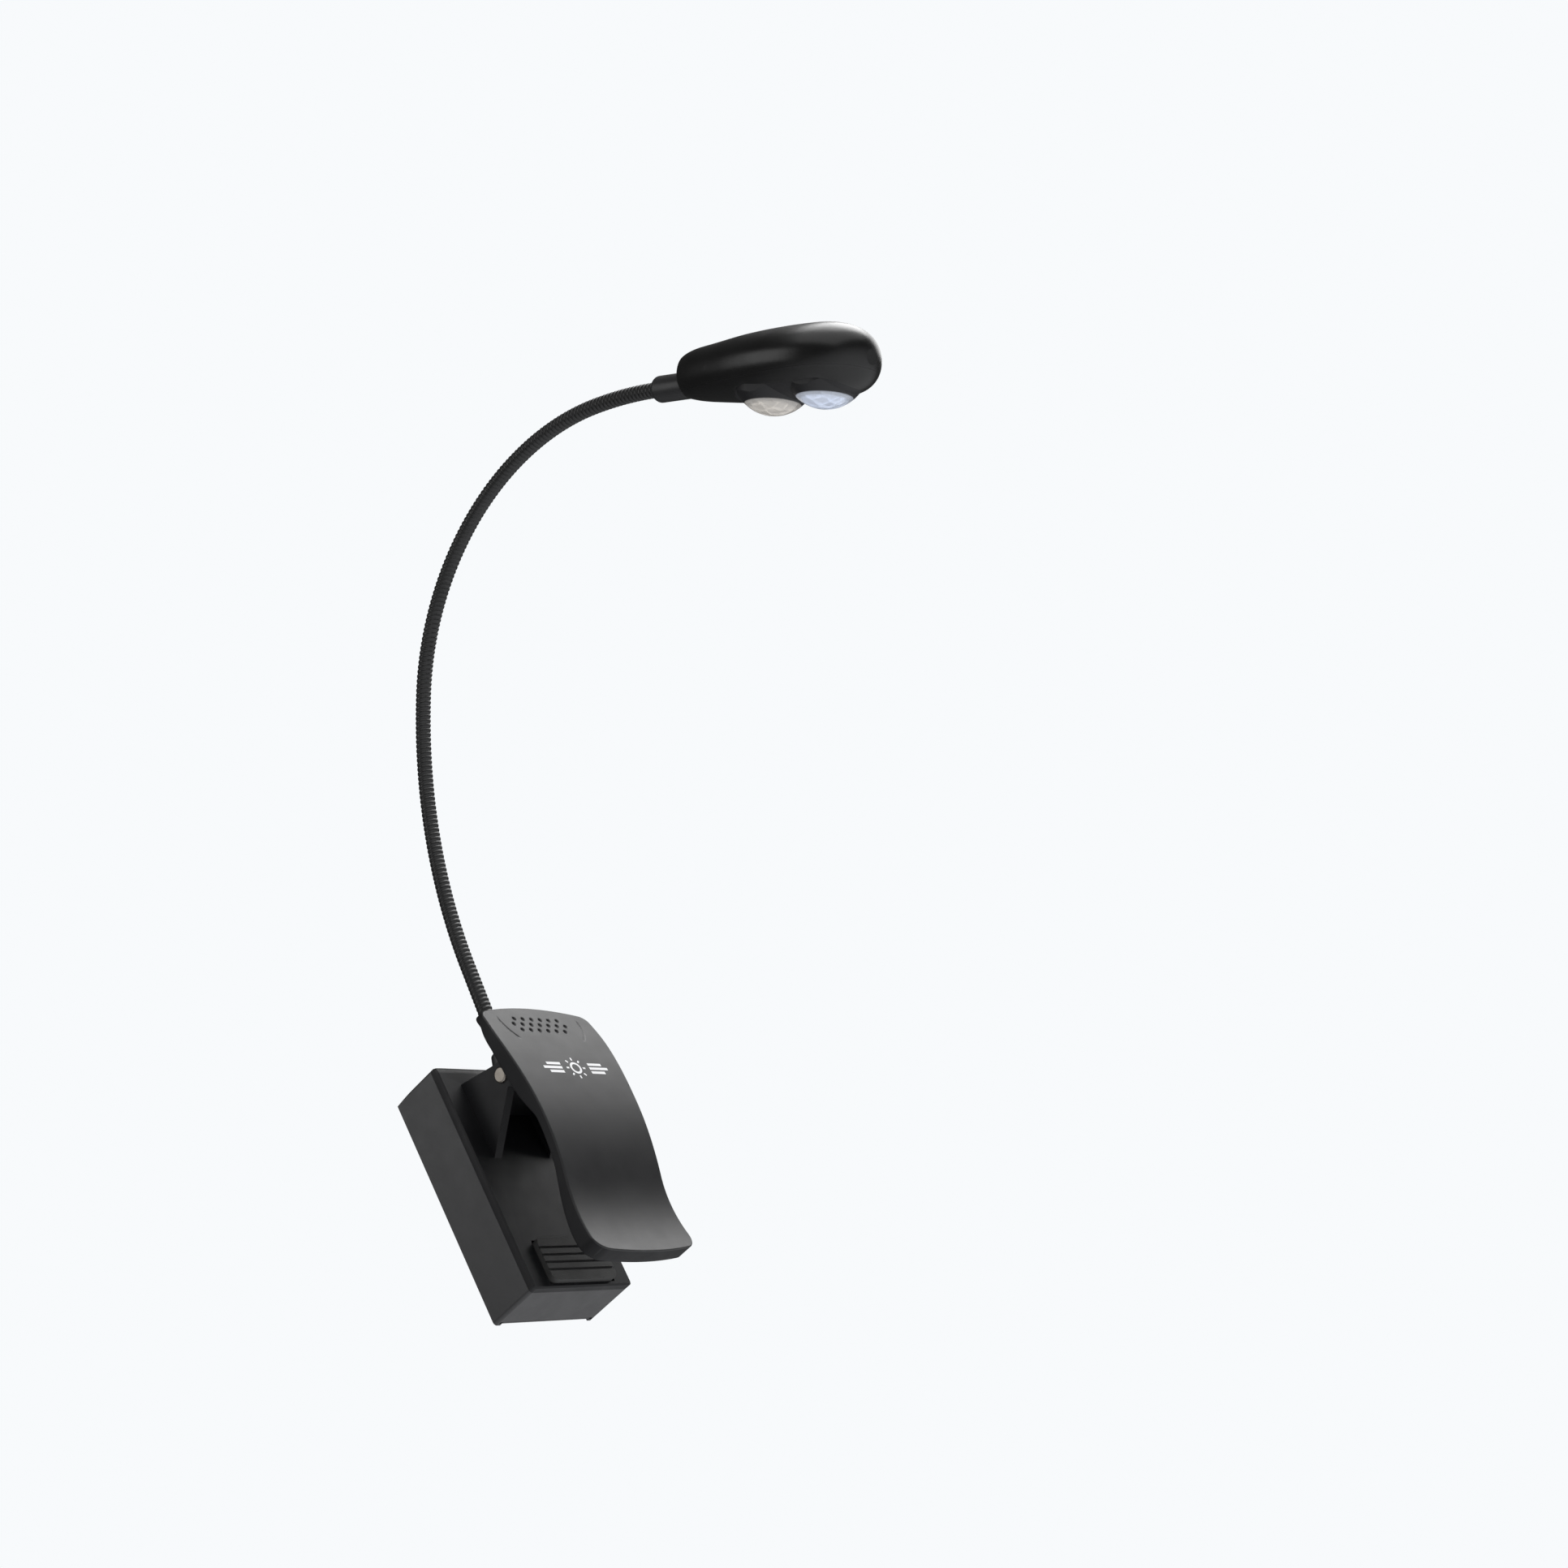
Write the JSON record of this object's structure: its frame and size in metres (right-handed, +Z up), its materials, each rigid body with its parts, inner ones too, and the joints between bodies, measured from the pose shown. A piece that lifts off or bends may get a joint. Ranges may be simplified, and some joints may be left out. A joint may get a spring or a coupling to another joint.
{
  "type": "clip-on reading lamp",
  "caption": "Battery clip-on reading lamp: spring clip with a curved front jaw and battery housing, ribbed bendable neck and small head with a domed lens.",
  "frame": {"origin": "centre of the rear jaw pad's face, the face that bears on a clamped board", "axes": "+Z up along the clamped board's face, -Y towards the front jaw and the head, X = 0 the plane of symmetry"},
  "size_m": [0.0476, 0.268, 0.2461],
  "materials": {
    "clip_plastic": "satin, fine-textured charcoal black",
    "plate_plastic": "satin charcoal",
    "neck_skin": "ribbed matte black",
    "head_plastic": "glossy black",
    "clear_plastic": "clear moulded optic",
    "reflector": "bright plated",
    "led": "clear dome",
    "pin_steel": "nickel plated",
    "spring_steel": "zinc plated",
    "screw_steel": "zinc plated",
    "pad_rubber": "matte",
    "cell_wrap": "plain printed sleeve",
    "contact": "nickel plated",
    "board": "green solder mask",
    "switch_black": "satin",
    "switch_grey": "satin",
    "lead": "pvc sleeve"
  },
  "bodies": {
    "clip_body": {"housing_front": "clip_plastic", "housing_rear": "clip_plastic", "battery_cell_1": "cell_wrap", "battery_cell_2": "cell_wrap", "battery_cell_3": "cell_wrap", "contact_plates": "contact", "contact_springs": "contact", "housing_screws": "screw_steel", "circuit_board": "board", "switch_body": "switch_black", "rear_jaw_pad": "pad_rubber", "hinge_pin": "pin_steel", "torsion_spring": "spring_steel", "neck_gland": "neck_skin", "lead_wires": "lead", "neck_root_span": "neck_skin"},
    "front_jaw": {"front_plate": "plate_plastic", "front_jaw_pad": "pad_rubber"},
    "cover": {"battery_cover": "clip_plastic"},
    "knob": {"switch_knob": "switch_grey"},
    "neck_01": {"neck_span_01": "neck_skin"},
    "neck_02": {"neck_span_02": "neck_skin"},
    "neck_03": {"neck_span_03": "neck_skin"},
    "neck_04": {"neck_span_04": "neck_skin"},
    "neck_05": {"neck_span_05": "neck_skin"},
    "neck_06": {"neck_span_06": "neck_skin"},
    "neck_07": {"neck_span_07": "neck_skin"},
    "neck_08": {"neck_span_08": "neck_skin"},
    "neck_09": {"neck_span_09": "neck_skin"},
    "neck_10": {"neck_span_10": "neck_skin"},
    "neck_11": {"neck_span_11": "neck_skin"},
    "head": {"neck_tip_span": "neck_skin", "head_collar": "head_plastic", "head_top_shell": "head_plastic", "head_bottom_shell": "head_plastic", "lens": "clear_plastic", "led_board": "board", "led_1": "led", "led_2": "led", "reflector_1": "reflector", "reflector_2": "reflector", "head_screws": "screw_steel", "head_leads": "lead"}
  },
  "joints": [
    {"name": "clip_hinge", "type": "hinge", "parent": "clip_body", "child": "front_jaw", "pos_m": [0, -0.0143, 0.057], "axis": [-1, 0, 0], "range_deg": [-17.5, 15], "deforming": ["torsion_spring"]},
    {"name": "cover_slide", "type": "slide", "parent": "clip_body", "child": "cover", "axis": [0, 0, -1], "range_m": [0, 0.061]},
    {"name": "switch_slide", "type": "slide", "parent": "clip_body", "child": "knob", "axis": [1, 0, 0], "range_m": [0, 0.004]},
    {"name": "neck_lower_bend", "type": "hinge", "parent": "clip_body", "child": "neck_01", "pos_m": [0, -0.00781, 0.08258], "axis": [1, 0, 0], "range_deg": [-14, 15]},
    {"name": "neck_pitch_2", "type": "hinge", "parent": "neck_02", "child": "neck_03", "pos_m": [0, -0.01329, 0.12867], "axis": [1, 0, 0], "range_deg": [-14, 15]},
    {"name": "neck_pitch_3", "type": "hinge", "parent": "neck_04", "child": "neck_05", "pos_m": [0, -0.02936, 0.17212], "axis": [1, 0, 0], "range_deg": [-14, 15]},
    {"name": "neck_upper_bend", "type": "hinge", "parent": "neck_06", "child": "neck_07", "pos_m": [0, -0.05742, 0.20875], "axis": [1, 0, 0], "range_deg": [-18, 12]},
    {"name": "neck_pitch_5", "type": "hinge", "parent": "neck_08", "child": "neck_09", "pos_m": [0, -0.09951, 0.22707], "axis": [1, 0, 0], "range_deg": [-18, 12]},
    {"name": "neck_pitch_6", "type": "hinge", "parent": "neck_10", "child": "neck_11", "pos_m": [0, -0.14503, 0.22118], "axis": [1, 0, 0], "range_deg": [-18, 12]},
    {"name": "neck_sway", "type": "hinge", "parent": "neck_01", "child": "neck_02", "pos_m": [0, -0.00965, 0.10574], "axis": [0, -0.9958, -0.0917], "range_deg": [-12, 12]},
    {"name": "neck_sway_2", "type": "hinge", "parent": "neck_03", "child": "neck_04", "pos_m": [0, -0.0199, 0.15092], "axis": [0, -0.9379, -0.347], "range_deg": [-12, 12]},
    {"name": "neck_sway_3", "type": "hinge", "parent": "neck_05", "child": "neck_06", "pos_m": [0, -0.04152, 0.1919], "axis": [0, -0.8131, -0.5821], "range_deg": [-12, 12]},
    {"name": "neck_sway_4", "type": "hinge", "parent": "neck_07", "child": "neck_08", "pos_m": [0, -0.07722, 0.22076], "axis": [0, -0.399, -0.9169], "range_deg": [-12, 12]},
    {"name": "neck_sway_5", "type": "hinge", "parent": "neck_09", "child": "neck_10", "pos_m": [0, -0.12267, 0.22721], "axis": [0, 0.1282, -0.9917], "range_deg": [-12, 12]},
    {"name": "neck_sway_6", "type": "hinge", "parent": "neck_11", "child": "head", "pos_m": [0, -0.16532, 0.20994], "axis": [0, 0.5558, -0.8313], "range_deg": [-12, 12]}
  ],
  "couplings": [
    {"joint": "neck_pitch_2", "follows": "neck_lower_bend", "ratio": 1},
    {"joint": "neck_pitch_3", "follows": "neck_lower_bend", "ratio": 1},
    {"joint": "neck_pitch_5", "follows": "neck_upper_bend", "ratio": 1},
    {"joint": "neck_pitch_6", "follows": "neck_upper_bend", "ratio": 1},
    {"joint": "neck_sway_2", "follows": "neck_sway", "ratio": 1},
    {"joint": "neck_sway_3", "follows": "neck_sway", "ratio": 1},
    {"joint": "neck_sway_4", "follows": "neck_sway", "ratio": 1},
    {"joint": "neck_sway_5", "follows": "neck_sway", "ratio": 1},
    {"joint": "neck_sway_6", "follows": "neck_sway", "ratio": 1}
  ]
}
